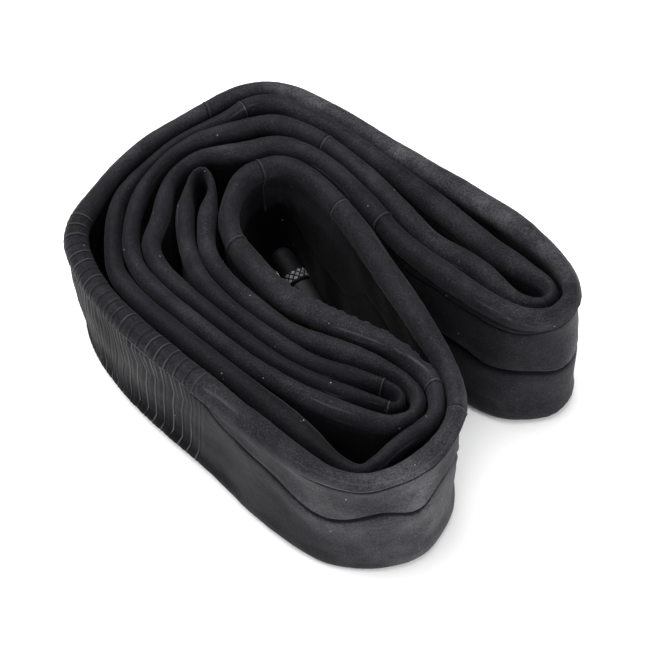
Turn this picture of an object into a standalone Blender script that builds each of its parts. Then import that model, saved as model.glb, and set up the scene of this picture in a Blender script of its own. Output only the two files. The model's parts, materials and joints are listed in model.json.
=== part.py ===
"""A bicycle inner tube, pressed flat and folded on edge into a bundle, with its valve and dust cap.

The tube is one endless hollow rubber band. It stands on one edge, and the route below is the line that
its middle follows round the bundle. The valve sits on the wall of the hollow in the bundle's middle.
Units are metres, +Z is up, and the origin is the middle of the footprint, on the surface it stands on.
"""
import math

import bpy
import numpy as np
from mathutils import Matrix, Vector

MM = 0.001
GAP = 0.3 * MM                      # clearance between pieces that touch on the real object

# The tube
BAND_HEIGHT = 60 * MM               # width of the flattened tube, which stands on edge
WALL = 0.8 * MM                     # butyl wall
EDGE_HEIGHT = 10 * MM               # height of the rounded fold along each edge of the flattened tube
FULL_HALF_THICKNESS = 4.1 * MM      # half the thickness of that fold where nothing squeezes it
BEND_SHARE = 0.8                    # and on a tight bend, at most this share of the bend's radius
CLEARANCE = 0.5 * MM                # between two stretches of the band that lie against each other
SAME_STRETCH = 24 * MM              # nearer than this along the band, two points are one stretch
SMOOTHING = 9 * MM                  # length over which the thickness changes gradually
EDGE_BULGE_HEIGHT = 3 * MM          # where the fold is thickest
WEB_SHARE = 0.55                    # thickness of the flat middle, as a share of the folded edge's
LONGEST_STEP = 24 * MM              # between two cross-sections on a straight stretch
LARGEST_TURN = 0.6                  # radians between two cross-sections on a bend
ROUTE_SAMPLES = 12                  # curve samples between two route points

# The points that the middle of the band passes through, seen from above, in millimetres.
ROUTE = (
    # outermost band, from the left end along the front
    (-84, 12.5), (-78.5, -1), (-68.5, -15.5), (-53, -32.5), (-36, -48.5), (-17.5, -66.5), (-4, -78),
    # round the front corner
    (6, -83.5), (14.5, -85), (25.5, -81), (34.5, -73.5), (41, -63.5), (43.5, -55),
    # right wall of the hollow, over the hollow's far end, and back along its front wall
    (41.5, -41), (33, -22), (21.5, 1.5), (11, 22), (0, 38.5),
    (-6, 44.5), (-13.5, 48.5), (-19, 47.5), (-26, 43), (-29.5, 35.5), (-31.5, 24.5), (-30, 16),
    (-21.5, 1.5), (-10, -12), (4.5, -21), (22.5, -31), (31, -39),
    # front lobe, then the second band along the front
    (36, -46), (37, -55), (35, -60.5), (23.5, -69.5), (17.5, -75.5), (12.5, -78.5), (5, -74.5),
    (-7.5, -62.5), (-27, -44.5), (-46, -27), (-60, -12.5), (-68.5, -0.5), (-71, 11),
    # squeezed stretch behind the left end, then along the back into the right lobe
    (-71.5, 28.5), (-68.5, 39.5), (-60.5, 52), (-50, 62), (-34.5, 69.5),
    (-25.5, 76.5), (-17, 77.5), (-9.5, 74), (7, 62), (24, 46.5), (40, 30), (58, 11.5), (71, 0.5),
    # inner turn of the right lobe, and the third band back round the left end
    (75.5, -3), (77.5, -8), (74.5, -12), (69, -12), (64, -9.5),
    (52, 3), (38.5, 13), (28, 26.5), (16, 43), (2, 57), (-7, 63.5), (-17.5, 67), (-28, 64.5),
    (-43.5, 58.5), (-53, 51.5), (-61, 39.5), (-64.5, 26), (-64.5, 11.5), (-61, 0.5), (-52, -11),
    (-35.5, -27), (-20, -40.5), (-3, -51.5), (13, -58), (21.5, -60.5),
    # second turn inside the front lobe, and back to the small loop at the left
    (27.5, -59), (30, -57), (31.5, -51.5), (29, -46), (22.5, -40), (7, -32),
    (-9, -25), (-20, -16), (-33, -1), (-38, 9), (-39, 23), (-37.5, 37),
    (-38.5, 42.5), (-41, 45.5), (-44, 43.5), (-45.5, 39), (-46.5, 27.5),
    (-45, 11), (-40, -2.5), (-31.5, -13.5), (-16.5, -27.5), (-2.5, -37.5),
    # innermost turn of the front lobe, and the fourth band round the left end and over the back
    (13.5, -43.5), (21, -46.5), (25.5, -50), (26, -53), (24, -55), (17.5, -52.5), (2, -46.5),
    (-13, -38), (-28, -25.5), (-44.5, -9.5), (-53.5, 1), (-57.5, 11.5), (-55, 22.5), (-52.5, 39),
    (-48, 46.5), (-41.5, 51.5), (-25.5, 54.5),
    (-15, 57), (-7, 54.5), (4, 45.5), (16.5, 29.5), (28, 13), (42.5, -1), (56, -12.5),
    # outer turn of the right lobe, and the outermost band along the back to the left end
    (66.5, -18.5), (72, -19), (78, -17.5), (83.5, -11), (84, -5), (81, 3.5),
    (72, 15), (57.5, 29), (39.5, 43.5), (21.5, 59), (6, 72), (-9.5, 82.5), (-18, 85.5), (-27, 83.5),
    (-42.5, 74), (-57.5, 63.5), (-69.5, 50.5), (-78.5, 35), (-84, 21.5),
)

# The valve
# The tube's lengths, in order, and the moulded ring each one starts at. The rings are a quarter of a
# metre apart.
LENGTHS = (
    ("tube_hollow_wall", (43, -58)),
    ("tube_second_front", (36.2, -46.7)),
    ("tube_second_back", (-27.7, 75.2)),
    ("tube_third_wrap", (4.2, 55)),
    ("tube_small_loop", (22.5, -40)),
    ("tube_fourth_wrap", (19.9, -45.9)),
    ("tube_outer_back", (21.2, 22.5)),
    ("tube_outer_front", (-41.2, 74.9)),
)
END_STEPS = 3                       # curve steps kept free of other cross-sections at each ring

VALVE_NEAR = (2.5, -19)             # the valve stands on the band where its route passes this point
VALVE_ROOT_HEIGHT = 33.5 * MM
VALVE_AXIS = Vector((-0.49, 0.83, 0.27)).normalized()
VALVE_SPACING = 7 * MM              # between cross-sections of the band beside the valve
VALVE_REACH = 24 * MM               # how far along the band that closer spacing goes
PAD_LENGTH = 26 * MM                # the stem's moulded base pad, along the band
PAD_HEIGHT = 19 * MM
PAD_THICKNESS = 1.5 * MM
PAD_EDGE_THICKNESS = 0.6 * MM
NECK_OUT = 4 * MM                   # how far the bent neck runs square to the wall
NECK_ALONG = 4.5 * MM               # and then along the valve's axis, up to the axis frame
AIR_HOLE_RADIUS = 1.5 * MM
FINE_SIDES = 16
ROUND_SIDES = 24

# Heights along the valve's axis, from the end of the bent neck
RUBBER_TOP = 20.2 * MM
STEM_RADIUS = 4.15 * MM
INSERT_FOOT = 3 * MM
INSERT_RADIUS = 3.2 * MM
THREAD_RADIUS = 3.65 * MM           # mean radius of the outer thread
STEM_TOP = 29 * MM
CORE_BORE_RADIUS = 2.55 * MM
AIR_BORE_RADIUS = 2 * MM
SEAT_TOP = 17 * MM
SEAT_FOOT = 15.5 * MM
BARREL_FOOT = 12 * MM
BARREL_TOP = 23.7 * MM
BARREL_RADIUS = 1.65 * MM
PIN_RADIUS = 0.45 * MM
PIN_FOOT = 8.9 * MM
PIN_TOP = 28.8 * MM
SPRING_FOOT = 12.9 * MM
SPRING_TOP = 20.7 * MM
SPRING_RADIUS = 0.88 * MM
SPRING_WIRE = 0.12 * MM
SPRING_TURNS = 7
CAP_FOOT = 20.8 * MM
CAP_TOP = 35.5 * MM
CAP_BORE_RADIUS = 3.95 * MM
CAP_SKIRT_RADIUS = 4.4 * MM
CAP_CAVITY_TOP = 30.75 * MM

MATERIALS = {                       # colour, roughness, metallic
    "butyl": ((0.020, 0.021, 0.022), 0.62, 0.0),
    "valve_rubber": ((0.016, 0.016, 0.017), 0.50, 0.0),
    "brass": ((0.72, 0.53, 0.26), 0.32, 1.0),
    "seal_rubber": ((0.30, 0.05, 0.04), 0.60, 0.0),
    "steel": ((0.60, 0.60, 0.58), 0.28, 1.0),
    "cap_plastic": ((0.018, 0.018, 0.019), 0.35, 0.0),
}


def clear_scene():
    for old in list(bpy.data.objects):
        bpy.data.objects.remove(old, do_unlink=True)


def make_materials():
    made = {}
    for name, (colour, roughness, metallic) in MATERIALS.items():
        material = bpy.data.materials.new(name)
        material.use_nodes = True
        shader = material.node_tree.nodes["Principled BSDF"]
        shader.inputs["Base Color"].default_value = (*colour, 1.0)
        shader.inputs["Roughness"].default_value = roughness
        shader.inputs["Metallic"].default_value = metallic
        made[name] = material
    return made


def add_object(name, verts, faces, material=None, parent=None):
    mesh = bpy.data.meshes.new(name)
    mesh.from_pydata([tuple(v) for v in verts], [], faces)
    obj = bpy.data.objects.new(name, mesh)
    bpy.context.scene.collection.objects.link(obj)
    if material:
        mesh.materials.append(material)
        mesh.shade_smooth()
        mesh.set_sharp_from_angle(angle=math.radians(35))
    obj.parent = parent
    return obj


def make_cutter(obj):
    obj.hide_render = True
    obj.display_type = "WIRE"
    return obj


def add_boolean(obj, other, operation):
    modifier = obj.modifiers.new(operation.title(), "BOOLEAN")
    modifier.object = other
    modifier.operation = operation


def band_rings(count, sides):
    """Faces joining ring i to ring i + 1 of a solid whose rings each have this many points."""
    faces = []
    for i in range(count - 1):
        for j in range(sides):
            k = (j + 1) % sides
            faces.append((i * sides + j, i * sides + k, (i + 1) * sides + k, (i + 1) * sides + j))
    return faces


# ---- the band's route -------------------------------------------------------------------------------

def catmull_rom(before, start, end, after, share):
    """A point of the centripetal curve from start to end."""
    knots = [0.0]
    for a, b in ((before, start), (start, end), (end, after)):
        knots.append(knots[-1] + math.sqrt((b - a).length))
    t = knots[1] + (knots[2] - knots[1]) * share
    row = [before, start, end, after]
    for width, first in ((1, 0), (2, 0), (1, 1)):
        row = [
            row[i].lerp(row[i + 1], (t - knots[i + first]) / (knots[i + first + width] - knots[i + first]))
            for i in range(len(row) - 1)
        ]
    return row[0]


def route_curve():
    """The closed curve through the route's points, as many short steps."""
    points = [Vector(point) * MM for point in ROUTE]
    count = len(points)
    curve = []
    for i in range(count):
        four = [points[(i + k) % count] for k in (-1, 0, 1, 2)]
        curve += [catmull_rom(*four, k / ROUTE_SAMPLES) for k in range(ROUTE_SAMPLES)]
    return curve


def curve_directions(curve):
    count = len(curve)
    return [(curve[(i + 1) % count] - curve[i - 1]).normalized() for i in range(count)]


def half_thicknesses(curve):
    """Half the band's thickness at each step: the folds swell until they meet the next stretch."""
    places = np.array([tuple(point) for point in curve])
    steps = np.linalg.norm(np.roll(places, -1, axis=0) - places, axis=1)
    travelled = np.concatenate(([0.0], np.cumsum(steps)[:-1]))
    apart = np.abs(travelled[:, None] - travelled[None, :])
    apart = np.minimum(apart, steps.sum() - apart)
    distance = np.linalg.norm(places[:, None] - places[None, :], axis=2)
    distance[apart < SAME_STRETCH] = np.inf
    room = (distance.min(axis=1) - CLEARANCE) / 2
    ahead = np.roll(places, -1, axis=0) - places
    heading = np.unwrap(np.arctan2(ahead[:, 1], ahead[:, 0]))
    turn = np.abs(np.roll(heading, -2) - heading)
    turn = np.minimum(turn, np.abs(turn - 2 * math.pi * np.round(turn / (2 * math.pi)))) + 1e-9
    bend = (steps + np.roll(steps, -1)) / turn
    room = np.minimum(np.minimum(room, BEND_SHARE * bend), FULL_HALF_THICKNESS)
    near = apart < SMOOTHING
    lowest = np.where(near, room[None, :], np.inf).min(axis=1)
    return (near * lowest[None, :]).sum(axis=1) / near.sum(axis=1)


def pick_stations(curve, directions):
    """Indices of the curve's steps that carry a cross-section: closer on bends and beside the valve."""
    chosen = []
    due = 1.0
    valve = Vector(VALVE_NEAR) * MM
    for i, point in enumerate(curve):
        if due >= 1.0:
            chosen.append(i)
            due -= 1.0
        after = curve[(i + 1) % len(curve)]
        step = (after - point).length
        turn = abs(directions[i].angle_signed(directions[(i + 1) % len(curve)]))
        beside_valve = (point - valve).length < VALVE_REACH
        due += step / (VALVE_SPACING if beside_valve else LONGEST_STEP) + turn / LARGEST_TURN
    return chosen


def step_near(curve, point):
    """Index of the curve's step nearest a point of the route, in millimetres."""
    place = Vector(point) * MM
    return min(range(len(curve)), key=lambda i: (curve[i] - place).length)


def side_of(direction):
    """Unit vector pointing to the left of the band's running direction."""
    return Vector((-direction.y, direction.x))


def footprint_middle(curve, directions, halves, stations):
    """Middle of the band's footprint, where the origin goes."""
    edges = []
    for i in stations:
        edges += [curve[i] + side_of(directions[i]) * halves[i] * sign for sign in (-1, 1)]
    low = Vector((min(e.x for e in edges), min(e.y for e in edges)))
    high = Vector((max(e.x for e in edges), max(e.y for e in edges)))
    return (low + high) / 2


# ---- the tube ---------------------------------------------------------------------------------------

def section_side(half, wall):
    """Right half of the band's section, bottom to top; wall is the inset for the inner skin."""
    web = half * WEB_SHARE
    lower = [
        (half * 0.5, wall),
        (half - wall, EDGE_BULGE_HEIGHT),
        (web - wall, EDGE_HEIGHT),
    ]
    upper = [(across, BAND_HEIGHT - height) for across, height in reversed(lower)]
    return lower + upper


def section(half, wall):
    side = section_side(half, wall)
    return side + [(-across, height) for across, height in reversed(side)]


def skin(curve, directions, halves, stations, wall):
    """One skin of a length of tube: the outer one, or the inner one that the wall stands inside of."""
    verts = []
    for i in stations:
        side = side_of(directions[i])
        trim = directions[i] * (GAP / 2) * ((i == stations[0]) - (i == stations[-1]))
        for across, height in section(halves[i], wall):
            place = curve[i] + side * across + trim
            verts.append((place.x, place.y, height))
    return verts


def make_length(name, curve, directions, halves, stations, material):
    """The tube between two rings: a wall round an open bore, which runs on through its neighbours."""
    outer = skin(curve, directions, halves, stations, 0.0)
    inner = skin(curve, directions, halves, stations, WALL)
    shift = len(outer)
    sides = shift // len(stations)
    faces = band_rings(len(stations), sides)
    faces += [tuple(shift + v for v in reversed(face)) for face in faces]
    last = shift - sides
    for j in range(sides):
        k = (j + 1) % sides
        faces.append((k, j, shift + j, shift + k))
        faces.append((last + j, last + k, shift + last + k, shift + last + j))
    return add_object(name, outer + inner, faces, material)


def length_stations(stations, start, end, count):
    """Cross-sections from one curve step to another, with the two ends."""
    span = (end - start) % count
    inside = sorted((i - start) % count for i in stations)
    inside = [i for i in inside if END_STEPS <= i <= span - END_STEPS]
    return [(start + i) % count for i in (0, *inside, span)]


def make_tube(curve, directions, halves, stations, starts, material):
    """The whole tube, as its lengths by name."""
    tube = {}
    for k, (name, _) in enumerate(LENGTHS):
        end = starts[(k + 1) % len(starts)]
        chosen = length_stations(stations, starts[k], end, len(curve))
        tube[name] = make_length(name, curve, directions, halves, chosen, material)
    return tube


# ---- the valve --------------------------------------------------------------------------------------

class WallPatch:
    """Places points on the wall of the band beside the valve: along it, up it and out from it."""

    def __init__(self, curve, directions, halves, middle):
        self.curve = curve
        self.directions = directions
        self.halves = halves
        self.middle = middle

    def normal(self):
        side = side_of(self.directions[self.middle])
        return Vector((side.x, side.y, 0))

    def point(self, along, up, out):
        i = self.middle
        sign = 1 if along > 0 else -1
        left = abs(along)
        while True:
            j = i + sign
            step = (self.curve[j] - self.curve[i]).length
            if step >= left:
                break
            left -= step
            i = j
        centre = self.curve[i].lerp(self.curve[j], left / step)
        side = side_of(self.directions[i].lerp(self.directions[j], left / step).normalized())
        half = self.halves[i] + (self.halves[j] - self.halves[i]) * left / step
        place = centre + side * (half * WEB_SHARE + out)
        return Vector((place.x, place.y, VALVE_ROOT_HEIGHT + up))


def make_pad(patch, material):
    """The stem's base pad: an oval that follows the wall and thins out towards its edge."""
    rings = ((0.35, PAD_THICKNESS), (0.75, PAD_THICKNESS), (1.0, PAD_EDGE_THICKNESS))
    outer = [(share, GAP + thick) for share, thick in rings]
    inner = [(share, GAP) for share, _ in reversed(rings)]
    verts = []
    for share, out in outer + inner:
        for k in range(ROUND_SIDES):
            angle = math.tau * k / ROUND_SIDES
            along = share * PAD_LENGTH / 2 * math.cos(angle)
            up = share * PAD_HEIGHT / 2 * math.sin(angle)
            verts.append(patch.point(along, up, out))
    faces = band_rings(2 * len(rings), ROUND_SIDES)
    last = (2 * len(rings) - 1) * ROUND_SIDES
    faces.append(tuple(reversed(range(ROUND_SIDES))))
    faces.append(tuple(range(last, last + ROUND_SIDES)))
    return add_object("valve_rubber", verts, faces, material)


def neck_spine(patch, start_out, steps=7):
    """Points from the wall, square to it at first, bending round to the valve's axis."""
    normal = patch.normal()
    root = patch.point(0.0, 0.0, start_out)
    turn = patch.point(0.0, 0.0, NECK_OUT)
    end = patch.point(0.0, 0.0, 0.0) + normal * NECK_OUT + VALVE_AXIS * NECK_ALONG
    bent = []
    for k in range(steps + 1):
        share = k / steps
        bent.append(root.lerp(turn, share).lerp(turn.lerp(end, share), share))
    return bent


def sweep(name, spine, radii, sides, material=None):
    """A round solid along a spine of points, its start and end closed."""
    verts = []
    up = Vector((0, 0, 1))
    for i, point in enumerate(spine):
        ahead = spine[min(i + 1, len(spine) - 1)] - spine[max(i - 1, 0)]
        across = up.cross(ahead).normalized()
        above = ahead.cross(across).normalized()
        for k in range(sides):
            angle = math.tau * k / sides
            verts.append(point + (across * math.cos(angle) + above * math.sin(angle)) * radii[i])
    faces = band_rings(len(spine), sides)
    faces.append(tuple(reversed(range(sides))))
    faces.append(tuple(range((len(spine) - 1) * sides, len(spine) * sides)))
    return add_object(name, verts, faces, material)


def lathe(name, profile, sides, material, parent):
    """A turned solid: a closed outline of (radius, height) points, counter-clockwise, spun about +Z.
    Points on the axis become a single vertex."""
    verts = []
    rings = []
    for radius, height in profile:
        if radius == 0:
            rings.append([len(verts)] * sides)
            verts.append((0, 0, height))
            continue
        rings.append(list(range(len(verts), len(verts) + sides)))
        for k in range(sides):
            angle = math.tau * k / sides
            verts.append((radius * math.cos(angle), radius * math.sin(angle), height))
    faces = []
    for low, high in zip(rings, rings[1:] + rings[:1]):
        for k in range(sides):
            n = (k + 1) % sides
            corners = [low[k], low[n], high[n], high[k]]
            face = tuple(dict.fromkeys(corners))
            if len(face) > 2:
                faces.append(face)
    return add_object(name, verts, faces, material, parent)


def make_valve_rubber(patch, materials, axis_start):
    """The moulded stem: base pad, bent neck and straight sleeve in one, with its bore cut through."""
    rubber = make_pad(patch, materials["valve_rubber"])
    neck = neck_spine(patch, GAP + 0.3 * PAD_THICKNESS)
    tip = axis_start + VALVE_AXIS * RUBBER_TOP
    flare = [6.2 * MM - (6.2 * MM - STEM_RADIUS) * min(1.0, k / 5) ** 0.7 for k in range(len(neck))]
    sleeve = make_cutter(sweep("neck_form", neck + [tip], flare + [STEM_RADIUS], ROUND_SIDES))
    add_boolean(rubber, sleeve, "UNION")
    pocket_ends = [axis_start + VALVE_AXIS * (INSERT_FOOT - GAP), tip + VALVE_AXIS * MM]
    pocket = make_cutter(sweep("pocket_cutter", pocket_ends, [INSERT_RADIUS + GAP] * 2, ROUND_SIDES))
    add_boolean(rubber, pocket, "DIFFERENCE")
    air_path = neck_spine(patch, -1.2 * MM) + [axis_start + VALVE_AXIS * (INSERT_FOOT + MM)]
    air = make_cutter(sweep("air_cutter", air_path, [AIR_HOLE_RADIUS] * len(air_path), FINE_SIDES))
    add_boolean(rubber, air, "DIFFERENCE")
    return air


def make_insert(material, parent):
    outline = (
        (AIR_BORE_RADIUS, INSERT_FOOT), (INSERT_RADIUS, INSERT_FOOT), (INSERT_RADIUS, RUBBER_TOP),
        (THREAD_RADIUS - 0.2 * MM, RUBBER_TOP + GAP), (THREAD_RADIUS, RUBBER_TOP + 2 * GAP),
        (THREAD_RADIUS, STEM_TOP - 0.4 * MM), (THREAD_RADIUS - 0.4 * MM, STEM_TOP),
        (CORE_BORE_RADIUS, STEM_TOP), (CORE_BORE_RADIUS, SEAT_TOP), (AIR_BORE_RADIUS, SEAT_FOOT),
    )
    return lathe("valve_stem_insert", outline, ROUND_SIDES, material, parent)


def make_core(materials, parent):
    """The valve core: screw plug, barrel and its gasket, and the sprung pin with its cup and seal."""
    brass = materials["brass"]
    shaft_hole = PIN_RADIUS + GAP
    plug = ((0.85 * MM, BARREL_TOP + GAP), (2.25 * MM, BARREL_TOP + GAP), (2.25 * MM, 27 * MM),
            (1.6 * MM, 28.4 * MM), (0.85 * MM, 28.4 * MM))
    lathe("core_plug", plug, FINE_SIDES, brass, parent)
    barrel = ((shaft_hole, BARREL_FOOT), (BARREL_RADIUS, BARREL_FOOT), (BARREL_RADIUS, 22 * MM),
              (2.2 * MM, 22.4 * MM), (2.2 * MM, BARREL_TOP), (1.3 * MM, BARREL_TOP),
              (1.3 * MM, BARREL_FOOT + 0.6 * MM), (shaft_hole, BARREL_FOOT + 0.6 * MM))
    lathe("core_barrel", barrel, FINE_SIDES, brass, parent)
    gasket = ((BARREL_RADIUS + GAP, SEAT_TOP), (2.15 * MM, SEAT_TOP), (2.25 * MM, SEAT_TOP + 0.5 * MM),
              (2.25 * MM, SEAT_TOP + 2.5 * MM), (BARREL_RADIUS + GAP, SEAT_TOP + 2.5 * MM))
    lathe("core_gasket", gasket, FINE_SIDES, materials["seal_rubber"], parent)
    pin = ((0, PIN_FOOT), (0.9 * MM, PIN_FOOT), (0.9 * MM, PIN_FOOT + 0.4 * MM),
           (PIN_RADIUS, PIN_FOOT + 0.4 * MM), (PIN_RADIUS, SPRING_TOP + GAP), (0.85 * MM, SPRING_TOP + GAP),
           (0.85 * MM, SPRING_TOP + 3 * GAP), (PIN_RADIUS, SPRING_TOP + 3 * GAP), (PIN_RADIUS, PIN_TOP),
           (0, PIN_TOP + 0.1 * MM))
    lathe("core_pin", pin, FINE_SIDES, brass, parent)
    cup = ((shaft_hole, 9.6 * MM), (1.4 * MM, 9.6 * MM), (1.6 * MM, 10 * MM), (1.6 * MM, 10.7 * MM),
           (shaft_hole, 10.7 * MM))
    lathe("core_cup", cup, FINE_SIDES, brass, parent)
    seal = ((shaft_hole, 11 * MM), (1.5 * MM, 11 * MM), (1.5 * MM, 11.7 * MM), (shaft_hole, 11.7 * MM))
    lathe("core_cup_seal", seal, FINE_SIDES, materials["seal_rubber"], parent)


def make_spring(material, parent):
    """The closing spring, coiled round the pin inside the barrel."""
    steps = SPRING_TURNS * 12
    spine = []
    for k in range(steps + 1):
        angle = math.tau * SPRING_TURNS * k / steps
        height = SPRING_FOOT + SPRING_WIRE + (SPRING_TOP - SPRING_FOOT - 2 * SPRING_WIRE) * k / steps
        spine.append(Vector((SPRING_RADIUS * math.cos(angle), SPRING_RADIUS * math.sin(angle), height)))
    spring = sweep("core_spring", spine, [SPRING_WIRE] * len(spine), 5, material)
    spring.parent = parent


def make_cap(materials, parent):
    """The dust cap with its thicker gripping skirt, and the sealing washer inside its top."""
    outline = (
        (CAP_BORE_RADIUS, CAP_FOOT), (CAP_SKIRT_RADIUS, CAP_FOOT), (CAP_SKIRT_RADIUS, CAP_FOOT + 4.6 * MM),
        (4.2 * MM, CAP_FOOT + 5.1 * MM), (4.1 * MM, STEM_TOP + MM), (3.7 * MM, 33.3 * MM),
        (2.6 * MM, 34.9 * MM), (1.3 * MM, CAP_TOP - 0.1 * MM), (0, CAP_TOP), (0, CAP_CAVITY_TOP),
        (CAP_BORE_RADIUS - 0.3 * MM, CAP_CAVITY_TOP), (CAP_BORE_RADIUS, CAP_CAVITY_TOP - 0.3 * MM),
    )
    lathe("dust_cap", outline, ROUND_SIDES, materials["cap_plastic"], parent)
    low, high = STEM_TOP + 1.4 * GAP, CAP_CAVITY_TOP - GAP
    washer = ((0.9 * MM, low), (3.3 * MM, low), (3.3 * MM, high), (0.9 * MM, high))
    lathe("cap_washer", washer, FINE_SIDES, materials["seal_rubber"], parent)


def main():
    clear_scene()
    materials = make_materials()
    curve = route_curve()
    directions = curve_directions(curve)
    stations = pick_stations(curve, directions)
    halves = half_thicknesses(curve)
    beside_valve = step_near(curve, VALVE_NEAR)
    starts = [step_near(curve, ring) for _, ring in LENGTHS]
    middle = footprint_middle(curve, directions, halves, stations)
    curve = [point - middle for point in curve]
    tube = make_tube(curve, directions, halves, stations, starts, materials["butyl"])

    patch = WallPatch(curve, directions, halves, beside_valve)
    axis_start = neck_spine(patch, 0.0)[-1]
    axis = bpy.data.objects.new("valve_axis", None)
    bpy.context.scene.collection.objects.link(axis)
    axis.matrix_world = Matrix.Translation(axis_start) @ VALVE_AXIS.to_track_quat("Z", "Y").to_matrix().to_4x4()
    air = make_valve_rubber(patch, materials, axis_start)
    add_boolean(tube["tube_hollow_wall"], air, "DIFFERENCE")
    make_insert(materials["brass"], axis)
    make_core(materials, axis)
    make_spring(materials["steel"], axis)
    make_cap(materials, axis)


main()
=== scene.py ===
"""Looks for a folded bicycle inner tube: the rubber's moulded detail, the valve and the studio."""
import json
import math

import bpy
import numpy as np
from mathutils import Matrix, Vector


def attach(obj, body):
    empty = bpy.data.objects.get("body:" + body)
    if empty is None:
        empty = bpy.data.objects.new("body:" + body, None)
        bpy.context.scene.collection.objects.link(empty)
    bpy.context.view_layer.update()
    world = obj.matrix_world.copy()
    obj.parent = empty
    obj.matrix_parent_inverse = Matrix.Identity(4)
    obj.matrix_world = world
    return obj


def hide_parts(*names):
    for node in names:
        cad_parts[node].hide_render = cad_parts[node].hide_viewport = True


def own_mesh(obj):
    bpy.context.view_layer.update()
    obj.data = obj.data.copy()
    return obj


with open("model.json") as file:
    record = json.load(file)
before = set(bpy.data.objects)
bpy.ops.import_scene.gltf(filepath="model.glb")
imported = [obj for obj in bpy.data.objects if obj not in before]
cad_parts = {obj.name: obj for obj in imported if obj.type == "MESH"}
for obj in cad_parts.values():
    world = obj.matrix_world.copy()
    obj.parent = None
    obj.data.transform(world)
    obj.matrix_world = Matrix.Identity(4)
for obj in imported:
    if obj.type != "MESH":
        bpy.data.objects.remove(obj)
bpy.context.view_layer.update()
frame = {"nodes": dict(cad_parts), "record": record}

MM = 0.001

# ---- the band's route, as in the CAD model ----------------------------------------------------------

BAND_HEIGHT = 60 * MM               # the flattened tube's width, stood on edge
FULL_HALF_THICKNESS = 4.25 * MM     # of a folded edge that nothing squeezes
BEND_SHARE = 0.8                    # of a bend's radius: the most that the half thickness may be there
CLEARANCE = 0.12 * MM               # between one fold and the next
SAME_STRETCH = 24 * MM              # places nearer than this along the band aren't neighbours across a gap
SMOOTHING = 9 * MM                  # reach along the band over which the thickness is evened out
WEB_SHARE = 0.55                    # the flat web's half width as a share of the folded edge's
WEB_EXTRA = 0.35 * MM               # and what is added to it,
WEB_LIMIT = 0.9                     # up to this share
ROUTE_SAMPLES = 12                  # steps of the curve between two points of the route

# The points that the middle of the band passes through, seen from above, in millimetres.
ROUTE = (
    # outermost band, from the left end along the front
    (-84, 12.5), (-78.5, -1), (-68.5, -15.5), (-53, -32.5), (-36, -48.5), (-17.5, -66.5), (-4, -78),
    # round the front corner
    (6, -83.5), (14.5, -85), (25.5, -81), (34.5, -73.5), (41, -63.5), (43.5, -55),
    # right wall of the hollow, over the hollow's far end, and back along its front wall
    (41.5, -41), (33, -22), (21.5, 1.5), (11, 22), (0, 38.5),
    (-6, 44.5), (-13.5, 48.5), (-19, 47.5), (-26, 43), (-29.5, 35.5), (-31.5, 24.5), (-30, 16),
    (-21.5, 1.5), (-10, -12), (4.5, -21), (22.5, -31), (31, -39),
    # front lobe, then the second band along the front
    (36, -46), (37, -55), (35, -60.5), (23.5, -69.5), (17.5, -75.5), (12.5, -78.5), (5, -74.5),
    (-7.5, -62.5), (-27, -44.5), (-46, -27), (-60, -12.5), (-68.5, -0.5), (-71, 11),
    # squeezed stretch behind the left end, then along the back into the right lobe
    (-71.5, 28.5), (-68.5, 39.5), (-60.5, 52), (-50, 62), (-34.5, 69.5),
    (-25.5, 76.5), (-17, 77.5), (-9.5, 74), (7, 62), (24, 46.5), (40, 30), (58, 11.5), (71, 0.5),
    # inner turn of the right lobe, and the third band back round the left end
    (75.5, -3), (77.5, -8), (74.5, -12), (69, -12), (64, -9.5),
    (52, 3), (38.5, 13), (28, 26.5), (16, 43), (2, 57), (-7, 63.5), (-17.5, 67), (-28, 64.5),
    (-43.5, 58.5), (-53, 51.5), (-61, 39.5), (-64.5, 26), (-64.5, 11.5), (-61, 0.5), (-52, -11),
    (-35.5, -27), (-20, -40.5), (-3, -51.5), (13, -58), (21.5, -60.5),
    # second turn inside the front lobe, and back to the small loop at the left
    (27.5, -59), (30, -57), (31.5, -51.5), (29, -46), (22.5, -40), (7, -32),
    (-9, -25), (-20, -16), (-33, -1), (-38, 9), (-39, 23), (-37.5, 37),
    (-38.5, 42.5), (-41, 45.5), (-44, 43.5), (-45.5, 39), (-46.5, 27.5),
    (-45, 11), (-40, -2.5), (-31.5, -13.5), (-16.5, -27.5), (-2.5, -37.5),
    # innermost turn of the front lobe, and the fourth band round the left end and over the back
    (13.5, -43.5), (21, -46.5), (25.5, -50), (26, -53), (24, -55), (17.5, -52.5), (2, -46.5),
    (-13, -38), (-28, -25.5), (-44.5, -9.5), (-53.5, 1), (-57.5, 11.5), (-55, 22.5), (-52.5, 39),
    (-48, 46.5), (-41.5, 51.5), (-25.5, 54.5),
    (-15, 57), (-7, 54.5), (4, 45.5), (16.5, 29.5), (28, 13), (42.5, -1), (56, -12.5),
    # outer turn of the right lobe, and the outermost band along the back to the left end
    (66.5, -18.5), (72, -19), (78, -17.5), (83.5, -11), (84, -5), (81, 3.5),
    (72, 15), (57.5, 29), (39.5, 43.5), (21.5, 59), (6, 72), (-9.5, 82.5), (-18, 85.5), (-27, 83.5),
    (-42.5, 74), (-57.5, 63.5), (-69.5, 50.5), (-78.5, 35), (-84, 21.5),
)

# The CAD model's lengths of tube between the moulded rings, which the one skin here stands for.
TUBE_LENGTHS = (
    "tube_hollow_wall", "tube_second_front", "tube_second_back", "tube_third_wrap", "tube_small_loop",
    "tube_fourth_wrap", "tube_outer_back", "tube_outer_front",
)

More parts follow.
